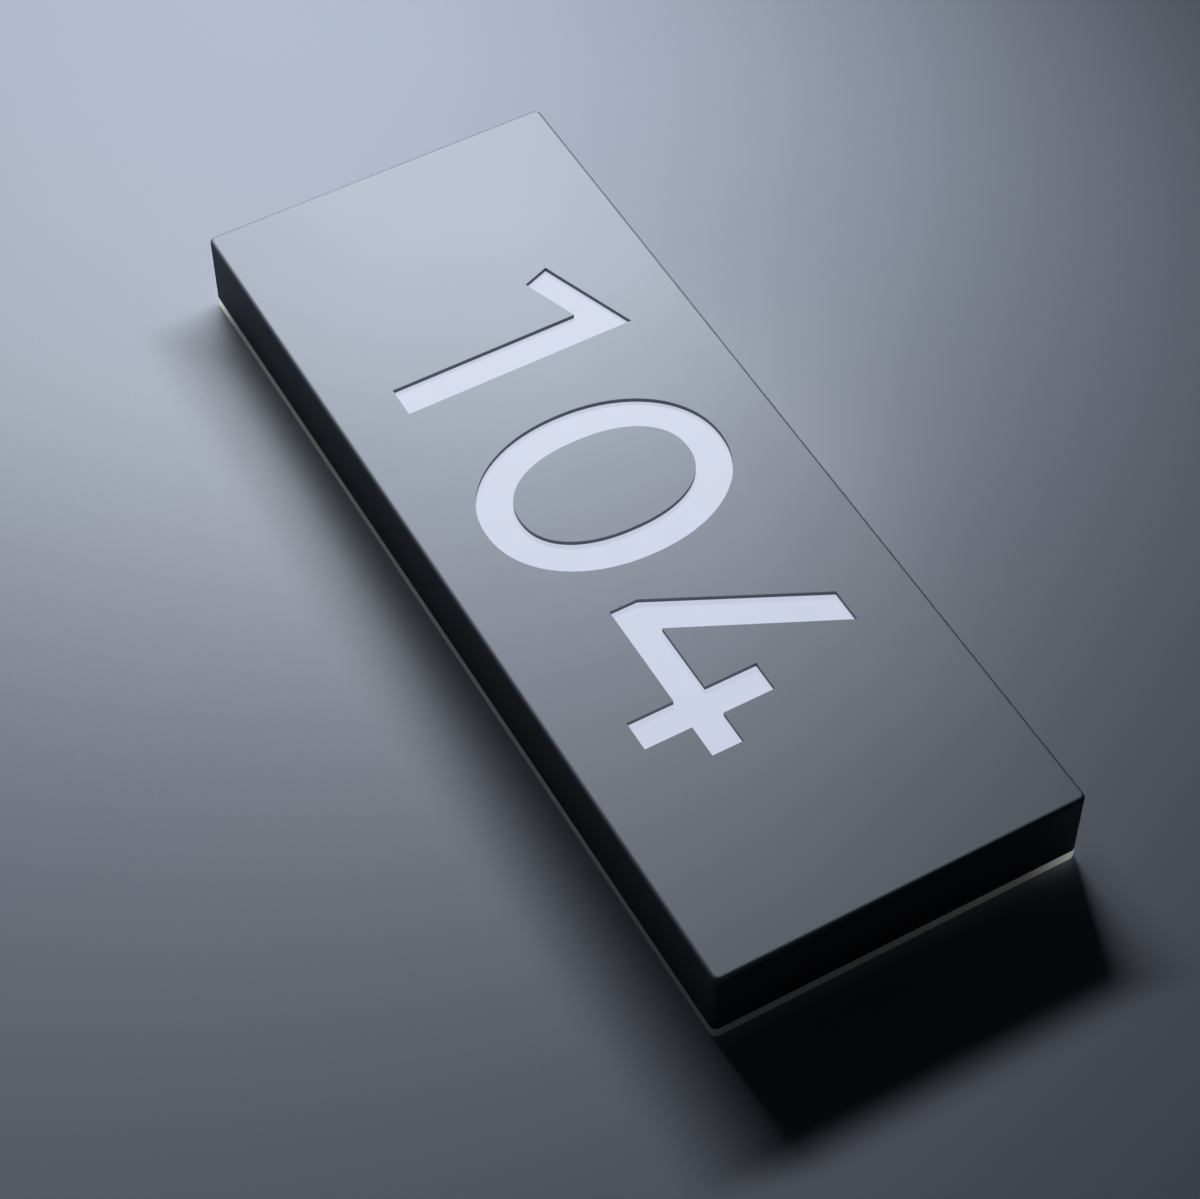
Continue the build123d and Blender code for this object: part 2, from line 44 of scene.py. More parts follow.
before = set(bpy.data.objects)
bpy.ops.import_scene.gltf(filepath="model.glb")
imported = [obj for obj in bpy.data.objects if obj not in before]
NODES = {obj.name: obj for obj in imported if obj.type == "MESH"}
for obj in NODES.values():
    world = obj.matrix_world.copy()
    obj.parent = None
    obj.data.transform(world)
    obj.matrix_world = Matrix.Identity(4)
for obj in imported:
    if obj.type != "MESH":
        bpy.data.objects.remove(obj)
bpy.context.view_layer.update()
MM = 0.001
LED_PITCH = 16 * MM  # between neighbouring diodes, along x and along y


# ---------------------------------------------------------------- shader expressions
class Term:
    """A number that changes over a surface. Python operators on it add Math nodes."""

    def __init__(self, finish, socket):
        self.finish = finish
        self.socket = socket

    def _math(self, operation, *values):
        return self.finish.node("ShaderNodeMath", {"operation": operation}, dict(enumerate(values)))

    def __add__(self, other):
        return self._math("ADD", self, other)

    def __radd__(self, other):
        return self._math("ADD", other, self)

    def __sub__(self, other):
        return self._math("SUBTRACT", self, other)

    def __rsub__(self, other):
        return self._math("SUBTRACT", other, self)

    def __mul__(self, other):
        return self._math("MULTIPLY", self, other)

    def __rmul__(self, other):
        return self._math("MULTIPLY", other, self)

    def __truediv__(self, other):
        return self._math("DIVIDE", self, other)

    def __rtruediv__(self, other):
        return self._math("DIVIDE", other, self)

    def __pow__(self, other):
        return self._math("POWER", self, other)

    def __abs__(self):
        return self._math("ABSOLUTE", self)

    def __mod__(self, pitch):
        """Distance to the nearest whole multiple of the pitch."""
        return self._math("PINGPONG", self, pitch / 2)


def diagonal(across, along):
    """Length of the straight line over two steps at a right angle: (across^2 + along^2)^0.5."""
    return (across * across + along * along) ** 0.5


class Finish:
    """One material. Its colour, gloss and relief are built from nodes on Object coordinates."""

    def __init__(self, name, **constants):
        self.material = bpy.data.materials.new(name)
        self.material.use_nodes = True
        self.tree = self.material.node_tree
        self.shader = self.tree.nodes["Principled BSDF"]
        self.place = self.node("ShaderNodeTexCoord", output="Object")
        for socket, value in constants.items():
            self.shader.inputs[socket.replace("_", " ")].default_value = value

    def node(self, kind, settings=None, values=None, output=0):
        """Adds a node: its settings are set first, then the values or links of its sockets."""
        made = self.tree.nodes.new(kind)
        for name, value in (settings or {}).items():
            setattr(made, name, value)
        for name, value in (values or {}).items():
            if isinstance(value, Term):
                self.tree.links.new(value.socket, made.inputs[name])
            else:
                made.inputs[name].default_value = value
        return Term(self, made.outputs[output])

    def feed(self, socket, term):
        """Lets a number or colour that changes over the surface drive one of the shader's sockets."""
        self.tree.links.new(term.socket, self.shader.inputs[socket])

    def stretched(self, x=1.0, y=1.0, z=1.0):
        """Object coordinates with each axis scaled, for grain that runs one way."""
        return self.node("ShaderNodeMapping", {}, {"Vector": self.place, "Scale": (x, y, z)})

    def noise(self, scale, detail=2.0, roughness=0.5, vector=None):
        """Fractal noise from 0 to 1, with about scale lumps to the metre."""
        values = {"Vector": vector or self.place, "Scale": scale, "Detail": detail, "Roughness": roughness}
        return self.node("ShaderNodeTexNoise", {"normalize": True}, values, "Fac")

    def axis(self, name):
        """One Object coordinate in metres."""
        return self.node("ShaderNodeSeparateXYZ", {}, {"Vector": self.place}, name)

    def mix(self, factor, first, second):
        """A colour that goes from first to second as factor goes from 0 to 1."""
        return self.node("ShaderNodeMix", {"data_type": "RGBA"}, {0: factor, 6: first, 7: second}, 2)

    def span(self, term, low, high):
        """0 at low and 1 at high, straight between them and flat past them; low may be the larger."""
        values = {"Value": term, "From Min": low, "From Max": high}
        return self.node("ShaderNodeMapRange", {"clamp": True}, values)

    def within(self, distance, reach, soft=0.05 * MM):
        """1 where a distance is under reach and 0 past it, with a narrow soft edge."""
        return self.span(distance, reach + soft, reach - soft)

    def inside(self, half_x, half_y):
        """1 where |X| is under half_x and |Y| is under half_y, and 0 elsewhere."""
        return self.within(abs(self.axis("X")), half_x) * self.within(abs(self.axis("Y")), half_y)

    def from_axis(self, x, y):
        """Distance from the nearest of the upright lines through (x, y) and its mirror images."""
        return diagonal(abs(self.axis("X")) - x, abs(self.axis("Y")) - y)

    def cover(self, factor, coat):
        """Lays a second shader over the first where factor is 1."""
        first = Term(self, self.shader.outputs["BSDF"])
        both = self.node("ShaderNodeMixShader", {}, {0: factor, 1: first, 2: coat})
        self.tree.links.new(both.socket, self.tree.nodes["Material Output"].inputs["Surface"])

    def relief(self, height, distance, strength=1.0):
        """Raises the shading by up to the distance where height goes from 0 to 1."""
        values = {"Height": height, "Distance": distance, "Strength": strength}
        self.feed("Normal", self.node("ShaderNodeBump", {}, values, "Normal"))


class Backdrop(Finish):
    """The room round the stage. Its glow is built from nodes on the direction from the middle."""

    def __init__(self, name):
        self.world = bpy.data.worlds.new(name)
        self.world.use_nodes = True
        self.tree = self.world.node_tree
        self.shader = self.tree.nodes["Background"]
        self.place = self.node("ShaderNodeTexCoord", output="Generated")


def rgb(colour):
    """A colour with full alpha, as a node's colour socket takes it."""
    return (*colour, 1.0)


def dress(finish, *names):
    """Gives carried-over CAD nodes a finish in all their slots."""
    for name in names:
        for slot in NODES[name].material_slots:
            slot.material = finish.material


# ---------------------------------------------------------------- surfaces
def grid_faces(rows, columns):
    """Quads between neighbouring rows of points; the last column joins the first."""
    row, column = np.meshgrid(np.arange(rows - 1), np.arange(columns), indexing="ij")
    beside = (column + 1) % columns
    near, far = row * columns, (row + 1) * columns
    quads = (near + column, near + beside, far + beside, far + column)
    return np.stack(quads, axis=-1).reshape(-1, 4)


def turned(radii, heights, steps=48):
    """A profile turned about the upright axis: (r(s) cos a, r(s) sin a, h(s)).

    The rows of points follow the profile, s, and the points of a row follow the angle, a.
    """
    angles = np.linspace(0, 2 * pi, steps, endpoint=False)
    radii, heights = np.asarray(radii, float)[:, None], np.asarray(heights, float)[:, None]
    axes = np.broadcast_arrays(radii * np.cos(angles), radii * np.sin(angles), heights)
    return np.stack(axes, axis=-1).reshape(-1, 3), grid_faces(len(radii), steps)


def repeated(surface, places):
    """The same surface at each place, as one set of points and faces."""
    points, faces = surface
    places = np.asarray(places, float)[:, None, :]
    shift = (np.arange(len(places)) * len(points))[:, None, None]
    return (points[None] + places).reshape(-1, 3), (faces[None] + shift).reshape(-1, 4)


def joined(*surfaces):
    """Several surfaces as one: the faces of each count on from the points of those before it."""
    points = np.concatenate([surface[0] for surface in surfaces])
    starts = np.cumsum([0] + [len(surface[0]) for surface in surfaces[:-1]])
    faces = np.concatenate([surface[1] + start for surface, start in zip(surfaces, starts)])
    return points, faces


def piece(name, surface, finish, body, slot, *replaced):
    """A closed smooth mesh at the origin that rides on a body and stands for CAD nodes."""
    mesh = bpy.data.meshes.new(name)
    mesh.from_pydata(surface[0].tolist(), [], surface[1].tolist())
    form = bmesh.new()
    form.from_mesh(mesh)
    bmesh.ops.remove_doubles(form, verts=form.verts, dist=0.0005 * MM)
    bmesh.ops.dissolve_degenerate(form, edges=form.edges, dist=0.0002 * MM)
    bmesh.ops.recalc_face_normals(form, faces=form.faces)
    form.to_mesh(mesh)
    form.free()
    if not mesh.polygons:
        raise RuntimeError(f"{name} has no faces")
    mesh.materials.append(finish.material)
    mesh.shade_smooth()
    mesh.set_sharp_from_angle(angle=radians(35))
    made = bpy.data.objects.new(name, mesh)
    bpy.context.scene.collection.objects.link(made)
    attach(made, body)
    if replaced:
        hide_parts(*replaced)


def disc_profile(radius, low, high, chamfer):
    """A flat round disc whose two rims are broken by a small chamfer."""
    radii = [0, radius - chamfer, radius, radius, radius - chamfer, 0]
    heights = [low, low, low + chamfer, high - chamfer, high, high]
    return radii, heights


def dome_profile(radius, height):
    """A low dome, (R cos a, H sin a) for a from 0 to 90 degrees, over a flat disc just under its foot."""
    turn = np.radians(np.linspace(0, 90, 6))
    foot = -0.05 * MM
    return [0, *(radius * np.cos(turn))], [foot, foot, *(height * np.sin(turn[1:]))]


def can_profile(radius, top, foot):
    """A can that hangs down: a quarter circle round its end, straight sides and a groove near its foot."""
    rim, groove = 0.4 * MM, 0.3 * MM
    turn = np.radians(np.linspace(0, 90, 6))
    radii = [0, *(radius - rim + rim * np.sin(turn)), *(radius - groove * np.array([0, 1, 1, 0, 0])), 0]
    heights = [top, *(top + rim - rim * np.cos(turn)), *(foot - MM * np.array([1.5, 1.25, 0.95, 0.7, 0, 0]))]
    return radii, heights


def cone_profile(wire, rise):
    """A hollow-sided cone round a wire: its radius falls to the wire's as w + f (1 - sin(s pi / 2))."""
    foot, gap = 0.55 * MM, 0.02 * MM
    share = np.linspace(0, 1, 7)
    spread = foot * (1 - np.sin(share * pi / 2)) + wire + gap
    return [0, *spread, 0], [0, *(share * rise), rise]


def rounded_square(radius, low, high, steps):
    """A square block with round corners, r = R / (|cos a|^9 + |sin a|^9)^(1/9), closed at both ends."""
    angles = np.linspace(0, 2 * pi, steps, endpoint=False)
    reach = radius * (np.abs(np.cos(angles)) ** 9 + np.abs(np.sin(angles)) ** 9) ** (-1 / 9)
    share, heights = np.array([0, 1, 1, 0])[:, None], np.array([low, low, high, high])[:, None]
    axes = np.broadcast_arrays(share * reach * np.cos(angles), share * reach * np.sin(angles), heights)
    return np.stack(axes, axis=-1).reshape(-1, 3), grid_faces(len(share), steps)


def corner_places(node, inset, z=0.0, columns=(-1, 1)):
    """Places of round things whose rims touch the node's box, in 2 rows and the given columns."""
    low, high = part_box(node)
    middle = (np.array(low) + np.array(high)) / 2
    reach = (np.array(high) - np.array(low)) / 2 - inset
    return [(middle[0] + x * reach[0], middle[1] + y * reach[1], z) for x in columns for y in (-1, 1)]


def screw_surface(outline, pitch, length):
    """A screw as one grid from the middle of its head's top to its tip.

    The outline gives radius and height, from the edge of the head's top to the shank. On the head's top each
    point inside the cross sinks by the slot's depth. On the shank the radius shrinks by a triangle wave of
    height / pitch - angle / turn, which is a thread, and the wave fades out at both ends.
    """
    steps, head_steps = 48, 30
    slot_width, slot_depth, slot_edge = 0.7 * MM, 0.8 * MM, 0.08 * MM
    thread_depth, tip_length, tip_share = 0.27 * MM, 0.4 * MM, 0.62
    head_radii, head_heights = outline.T
    radius, seat, slot_half = head_radii[-1], head_heights[-1], head_radii.max() / 2
    thread_end = length - tip_length
    angles = np.linspace(0, 2 * pi, steps, endpoint=False)[None, :]
    top = np.linspace(0, head_radii[0], head_steps)
    turns = np.arange(seat, thread_end, pitch / 6)
    radii = [top, head_radii[1:], np.full(len(turns), radius), [tip_share * radius, 0]]
    heights = [np.full(head_steps, head_heights[0]), head_heights[1:], turns, [length, length]]
    radii, heights = np.concatenate(radii)[:, None], np.concatenate(heights)[:, None]
    row = np.arange(len(radii))[:, None]
    on_shank = (row >= head_steps + len(head_radii) - 1) & (row < len(radii) - 2)
    wave = np.abs(((heights / pitch - angles / (2 * pi)) % 1) * 2 - 1)
    fade = np.clip((heights - seat) / pitch, 0, 1) * np.clip((thread_end - heights) / pitch, 0, 1)
    shaped = radii - np.where(on_shank, thread_depth * wave * fade, 0)
    x, y = shaped * np.cos(angles), shaped * np.sin(angles)
    bar = np.maximum(np.abs(x) - slot_half, np.abs(y) - slot_width / 2)
    crossbar = np.maximum(np.abs(y) - slot_half, np.abs(x) - slot_width / 2)
    sunk = np.clip(0.5 - np.minimum(bar, crossbar) / slot_edge, 0, 1) * (row < head_steps)
    surface = np.stack([x, y, heights + slot_depth * sunk], axis=-1)
    return surface.reshape(-1, 3), grid_faces(len(radii), steps)


def pan_outline(radius, head_radius, head_height):
    """A pan head, its edge a quarter circle (R - r + r sin a, r - r cos a - H), a from 0 to 90 degrees."""
    rim = 0.5 * MM
    turn = np.radians(np.linspace(0, 90, 7))
    edge = np.column_stack([head_radius - rim + rim * np.sin(turn), rim - rim * np.cos(turn) - head_height])
    return np.vstack([edge, (head_radius, 0), (radius, 0)])


def countersunk_outline(radius, head_radius):
    """A flat top with a narrow broken edge over a cone of 45 degrees a side."""
    broken = 0.05 * MM, 0.04 * MM
    return np.array([(head_radius - broken[0], 0), (head_radius, broken[1]), (radius, head_radius - radius)])


# ---------------------------------------------------------------- settings
def colour_setting(name, description, default):
    """A colour that the panel shows."""
    return FloatVectorProperty(
        name=name, description=description, subtype="COLOR", default=default, min=0, max=1
    )


def place_setting(name, description, default):
    """A place in metres that the panel shows."""
    return FloatVectorProperty(
        name=name, description=description, subtype="TRANSLATION", unit="LENGTH", default=default
    )


def length_setting(name, description, millimetres):
    """A length, given here in millimetres, that the panel shows."""
    return FloatProperty(
        name=name, description=description, unit="LENGTH", default=millimetres * MM, min=0.0
    )


class SignFinishes(bpy.types.PropertyGroup):
    anodised_colour: colour_setting("Anodised metal", "Colour of the blasted face", (0.305, 0.323, 0.366))
    # The shell's sides and cut edges are painted darker than the face, as shade on the same metal
    side_shade_colour: colour_setting("Shell sides", "Darker colour painted on the shell's sides as shade", (0.085, 0.088, 0.095))
    cut_shade_colour: colour_setting("Cut edges", "Darker colour painted on the cut edges round the digits as shade", (0.19, 0.20, 0.235))
    anodised_roughness: FloatProperty(
        name="Anodised roughness",
        description="How matt the shell is",
        subtype="FACTOR",
        default=0.723,
        min=0,
        max=1,
    )
    opal_colour: colour_setting("Opal sheet", "Colour of the unlit diffuser", (0.04, 0.042, 0.045))
    glow_colour: colour_setting("Glow colour", "Colour of the light behind the digits", (0.74, 0.785, 0.97))
    glow_strength: FloatProperty(
        name="Glow strength", description="How bright the lit digits are", default=0.776, min=0, max=20
    )
    acrylic_colour: colour_setting("Clear acrylic", "Tint of the wall plate", (0.93, 0.97, 0.95))
    frost_colour: colour_setting("Frosted edge", "Colour of the wall plate's sawn edges", (0.66, 0.68, 0.66))
    # Colour of the glow painted on the wall plate's edges, in place of light piped through the plate
    painted_edge_glow: colour_setting("Painted edge glow", "Glow painted on the plate's edges", (1.0, 0.99, 0.90))
    rubber_colour: colour_setting("Rubber", "Colour of the grommet and the gasket", (0.018, 0.018, 0.019))
    cover_colour: colour_setting("Rear cover", "Colour of the moulded rear cover", (0.022, 0.022, 0.024))
    mask_colour: colour_setting("Driver board", "Colour of the driver's solder mask", (0.012, 0.075, 0.035))
    button_colour: colour_setting("Terminal buttons", "Colour of the two push buttons", (0.75, 0.21, 0.02))


class SignSizes(bpy.types.PropertyGroup):
    magnet_radius: length_setting("Magnet radius", "Radius of the four magnets", 7.5)
    strike_radius: length_setting("Strike radius", "Radius of the four steel discs", 8.0)
    rim_break: length_setting("Rim break", "Chamfer on the rims of magnets and discs", 0.25)
    capacitor_radius: length_setting("Capacitor radius", "Radius of the two cans", 3.15)
    capacitor_base: length_setting("Capacitor base", "Height of the black base", 1.2)
    dome_radius: length_setting("Dome radius", "Radius of the phosphor dome on each diode", 1.15)
    dome_height: length_setting("Dome height", "Height of the phosphor dome", 0.25)
    led_length: length_setting("Diode length", "Long side of one diode", 3.5)
    led_width: length_setting("Diode width", "Short side of one diode", 2.8)
    grommet_bore: length_setting("Grommet bore", "Radius of the lead's hole", 2.8)
    grommet_neck: length_setting("Grommet neck", "Radius between the two flanges", 6.0)


class SignStage(bpy.types.PropertyGroup):
    camera_place: place_setting("Camera place", "Where the camera stands", (0.492228, -0.280699, 0.712569))
    camera_turn: FloatVectorProperty(
        name="Camera turn",
        description="Turns of the camera about x, y and z",
        subtype="EULER",
        default=(radians(37.7752), radians(0.2480), radians(60.4869)),
    )
    lens: FloatProperty(name="Lens", description="Focal length in millimetres", default=94.195, min=1)
    floor_colour: colour_setting("Table", "Colour of the table", (0.290, 0.315, 0.385))
    fade_start: length_setting("Fade start", "Distance from the middle where the table starts to melt", 360)
    fade_end: length_setting("Fade end", "Distance from the middle where the table is gone", 800)
    key_power: FloatProperty(
        name="Key light", description="Power of the soft box", subtype="POWER", default=3.63, min=0
    )
    key_colour: colour_setting("Key colour", "Colour of the soft box's light", (0.94, 0.97, 1.0))
    key_place: place_setting("Key place", "Middle of the soft box", (-0.413, 0.023, 0.380))
    key_aim: place_setting("Key aim", "Point that the soft box faces", (-0.419, -0.338, 0.0))
    key_width: length_setting("Key width", "Long side of the soft box", 685)
    key_height: length_setting("Key height", "Short side of the soft box", 50)
    key_turn: FloatProperty(
        name="Key turn",
        description="Turn of the soft box about the way it faces",
        subtype="ANGLE",
        default=0.633,
    )
    room_colour: colour_setting("Room", "Colour of the room's light", (0.55, 0.62, 0.75))
    room_glow: FloatProperty(name="Room glow", description="Light from all sides", default=0.0095, min=0)
    horizon: FloatProperty(name="Horizon", description="Glow of the room's low walls", default=0.2, min=0)


# ---------------------------------------------------------------- stage
class SIGN_OT_stage(bpy.types.Operator):
    """Camera, table and soft light. The table melts into the room's low walls far from the sign"""

    bl_idname = "sign.stage"
    bl_label = "Stage"

    def execute(self, context):
        stage = context.scene.sign_stage
        self.camera(context, stage)
        self.table(context, stage)
        self.lights(context, stage)
        return {"FINISHED"}

    def camera(self, context, stage):
        data = bpy.data.cameras.new("camera")
        data.lens = stage.lens
        camera = bpy.data.objects.new("camera", data)
        camera.location = stage.camera_place
        camera.rotation_euler = stage.camera_turn
        context.scene.collection.objects.link(camera)
        context.scene.camera = camera

    def table(self, context, stage):
        half, top = 6.0, -0.05 * MM  # half of a side, and a height just under the wall plate's back
        corners = [(-half, -half, top), (half, -half, top), (half, half, top), (-half, half, top)]
        mesh = bpy.data.meshes.new("table_top")
        mesh.from_pydata(corners, [], [(0, 1, 2, 3)])
        finish = Finish("table_laminate", Roughness=0.386, Specular_IOR_Level=0.298)
        grain = finish.noise(1400, 3.0, 0.6)
        colour = np.array(stage.floor_colour)
        finish.feed("Base Color", finish.mix(grain, rgb(0.94 * colour), rgb(1.06 * colour)))
        finish.relief(grain, 0.02 * MM)
        finish.feed("Alpha", finish.span(finish.from_axis(0.0, 0.0), stage.fade_end, stage.fade_start))
        mesh.materials.append(finish.material)
        table = bpy.data.objects.new("table_top", mesh)
        context.scene.collection.objects.link(table)

    def lights(self, context, stage):
        data = bpy.data.lights.new("soft_box", "AREA")
        data.shape = "RECTANGLE"
        data.size = stage.key_width
        data.size_y = stage.key_height
        data.energy = stage.key_power
        data.color = stage.key_colour
        key = bpy.data.objects.new("soft_box", data)
        key.location = stage.key_place
        key.rotation_mode = "QUATERNION"
        facing = (Vector(stage.key_place) - Vector(stage.key_aim)).to_track_quat("Z", "Y")
        key.rotation_quaternion = facing @ Quaternion((0, 0, 1), stage.key_turn)
        context.scene.collection.objects.link(key)
        room = Backdrop("room")
        room.shader.inputs["Color"].default_value = rgb(stage.room_colour)
        wall_top = 0.35  # as the upward part of the direction, which is 1 straight up
        low_wall = room.span(room.axis("Z"), wall_top, 0.0)
        room.feed("Strength", stage.room_glow + stage.horizon * low_wall * low_wall)
        context.scene.world = room.world
        context.scene.view_settings.view_transform = "Standard"


# ---------------------------------------------------------------- the seen outside
class SIGN_OT_housing(bpy.types.Operator):
    """Black anodised metal: a blasted, satin face over sides painted darker as shade, and the loose middle
    of the 0
    """

    bl_idname = "sign.housing"
    bl_label = "Housing"

    def execute(self, context):
        look = context.scene.sign_finishes
        finish = Finish("satin_black", Metallic=1.0)
        blasted = finish.noise(5200, 2.0, 0.6)
        cloud = finish.noise(14, 3.0, 0.55)
        colour = np.array(look.anodised_colour)
        satin = finish.mix(blasted, rgb(0.93 * colour), rgb(1.07 * colour))
        # The lighter face colour ends on the rounded edge, further down it on the -y side than on the +y
        # side: the darker wall colour painted higher on the +y edge is shade.
        blast_low, blast_high, shade_tilt = 0.6 * MM, 0.05 * MM, 10
        drop = (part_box("front_housing")[1].z - finish.axis("Z")) * (1 + finish.axis("Y") * shade_tilt)
        face = finish.span(drop, blast_low, blast_high)
        # Sides and cut edges get darker colours than the face: painted shade on one black metal
        digit_field = finish.inside(140 * MM, 50 * MM)
        wall = finish.mix(digit_field, rgb(look.side_shade_colour), rgb(look.cut_shade_colour))
        finish.feed("Base Color", finish.mix(face, wall, satin))
        finish.feed("Roughness", look.anodised_roughness + (blasted - 0.5) * 0.06 + (cloud - 0.5) * 0.03)
        finish.relief(blasted, 0.004 * MM, 0.5)
        dress(finish, "front_housing", "zero_counter")
        return {"FINISHED"}


class SIGN_OT_diffuser(bpy.types.Operator):
    """Opal acrylic sheet, lit from behind by the rows of diodes"""

    bl_idname = "sign.diffuser"
    bl_label = "Diffuser"

    def execute(self, context):
        look = context.scene.sign_finishes
        finish = Finish("opal_sheet", Roughness=0.45, IOR=1.49, Specular_IOR_Level=0.18)
        finish.shader.inputs["Emission Strength"].default_value = look.glow_strength
        haze = finish.noise(900, 3.0, 0.6)
        white, glow = np.array(look.opal_colour), np.array(look.glow_colour)
        finish.feed("Base Color", finish.mix(haze, rgb(0.97 * white), rgb(white)))
        row = 1 - (finish.axis("X") % LED_PITCH) / (LED_PITCH / 2)
        line = 1 - (finish.axis("Y") % LED_PITCH) / (LED_PITCH / 2)
        brightness = row * line * 0.7 + haze * 0.3
        finish.feed("Emission Color", finish.mix(brightness, rgb(0.975 * glow), rgb(glow)))
        dress(finish, "digit_diffuser")
        return {"FINISHED"}


class SIGN_OT_wall_plate(bpy.types.Operator):
    """Clear acrylic plate with sawn, frosted edges and a glow painted on those edges"""

    bl_idname = "sign.wall_plate"
    bl_label = "Wall plate"

    def execute(self, context):
        look = context.scene.sign_finishes
        clear, frost = np.array(look.acrylic_colour), np.array(look.frost_colour)
        finish = Finish("clear_sheet", IOR=1.49, Transmission_Weight=1.0)
        finish.feed("Base Color", finish.mix(finish.noise(60), rgb(0.97 * clear), rgb(clear)))
        saw = finish.noise(3000, 3.0, 0.6, finish.stretched(0.15, 0.15, 1.0))
        half_sheet, soft, clear_alpha, frosting = 2 * MM, 0.05 * MM, 0.35, 0.85
        rim = finish.within(abs(finish.axis("Z") - half_sheet), half_sheet - soft)
        finish.feed("Roughness", 0.03 + rim * (0.12 + saw * 0.22))
        finish.feed("Alpha", clear_alpha + rim * (1 - clear_alpha))
        finish.relief(saw * rim, 0.01 * MM, 0.4)
        white = finish.mix(saw, rgb(0.92 * frost), rgb(1.08 * frost))
        # Painted glow: the sawn edges' Emission Color stands in for light piped through the plate
        painted_glow_colour = finish.mix(self.painted_glow_strength(finish) * rim, (0, 0, 0, 1), rgb(look.painted_edge_glow))
        sawn_edge_and_glow = {"Base Color": white, "Roughness": 0.7, "IOR": 1.49}
        sawn_edge_and_glow |= {"Emission Color": painted_glow_colour, "Emission Strength": 1.0}
        finish.cover(rim * frosting, finish.node("ShaderNodeBsdfPrincipled", {}, sawn_edge_and_glow))
        dress(finish, "wall_plate")
        return {"FINISHED"}

    def painted_glow_strength(self, finish):
        """Glow painted on the outer edges in place of light piped in at the -x end and the +y side, fainter
        far off.

        It is painted brighter at the two corners that stand side on to it, over the last two centimetres.
        """
        low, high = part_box("wall_plate")
        x, y = finish.axis("X"), finish.axis("Y")
        skin, corner, left_reach, right_reach = 0.7 * MM, 3 * MM, 16 * MM, 20 * MM
        inner = finish.inside(high.x - skin, high.y - skin)
        near_end, near_side = finish.span(x, high.x, low.x), finish.span(y, low.y, high.y)
        left = finish.span(diagonal(x - low.x, y - low.y), left_reach, corner)
        right = finish.span(diagonal(x - high.x, y - high.y), right_reach, corner)
        # Strengths of the painted glow: a faint base, near the -x end, near the +y side and at the two
        # corners
        everywhere, end_glow, side_glow, left_corner_glow, right_corner_glow = 0.008, 0.070, 0.036, 0.45, 0.20
        through = left_corner_glow * left * left + right_corner_glow * right * right
        return (everywhere + end_glow * near_end + side_glow * near_side ** 3.0 + through) * (1 - inner)


# ---------------------------------------------------------------- metal parts
def zinc_finish(name, x, y):
    """Bluish zinc plate over fine turning rings about the upright lines at x, y."""
    finish = Finish(name, Metallic=1.0)
    ring_rate = 9000  # radians to the metre, a ring every 0.7 mm
    distance = finish.from_axis(x, y)
    rings = finish.node("ShaderNodeMath", {"operation": "SINE"}, {0: distance * ring_rate})
    spangle = finish.node("ShaderNodeTexVoronoi", {}, {"Vector": finish.place, "Scale": 700.0}, "Distance")
    finish.feed("Base Color", finish.mix(spangle, (0.42, 0.45, 0.49, 1), (0.62, 0.63, 0.64, 1)))
    finish.feed("Roughness", 0.30 + finish.noise(1200) * 0.15)
    finish.relief(rings, 0.004 * MM, 0.35)
    return finish


def steel_finish():
    """Stainless steel with fine lines along its turned sides."""
    finish = Finish("bright_steel", Metallic=1.0)
    lines = finish.noise(4000, 2.0, 0.5, finish.stretched(0.1, 0.1, 1.0))
    finish.feed("Base Color", finish.mix(lines, (0.50, 0.50, 0.49, 1), (0.68, 0.67, 0.65, 1)))
    finish.feed("Roughness", 0.22 + lines * 0.2)
    finish.relief(lines, 0.004 * MM, 0.4)
    return finish


class SIGN_OT_wall_hardware(bpy.types.Operator):
    """Steel discs and locating pins in the wall plate"""

    bl_idname = "sign.wall_hardware"
    bl_label = "Discs and pins"

    def execute(self, context):
        sizes = context.scene.sign_sizes
        places = corner_places("strike_discs", sizes.strike_radius)
        low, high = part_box("strike_discs")
        profile = disc_profile(sizes.strike_radius, low.z, high.z, sizes.rim_break)
        finish = zinc_finish("zinc_disc", abs(places[0][0]), abs(places[0][1]))
        surface = repeated(turned(*profile, steps=96), places)
        piece("strike_plates", surface, finish, "wall_side", "zinc_steel", "strike_discs")
        dress(steel_finish(), "locating_pins")
        return {"FINISHED"}


class SIGN_OT_magnets(bpy.types.Operator):
    """Nickel-plated magnets in the cups of the rear cover"""

    bl_idname = "sign.magnets"
    bl_label = "Magnets"

    def execute(self, context):
        sizes = context.scene.sign_sizes
        places = corner_places("magnets", sizes.magnet_radius)
        low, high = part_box("magnets")
        profile = disc_profile(sizes.magnet_radius, low.z, high.z, sizes.rim_break)
        finish = Finish("magnet_nickel", Metallic=1.0)
        scuffs = finish.noise(500, 4.0, 0.7, finish.stretched(0.2, 1.0, 1.0))
        finish.feed("Base Color", finish.mix(scuffs, (0.60, 0.57, 0.52, 1), (0.70, 0.67, 0.62, 1)))
        finish.feed("Roughness", 0.08 + finish.span(scuffs, 0.5, 0.7) * 0.25)
        surface = repeated(turned(*profile, steps=96), places)
        piece("magnet_discs", surface, finish, "sign_head", "nickel_plate", "magnets")
        return {"FINISHED"}


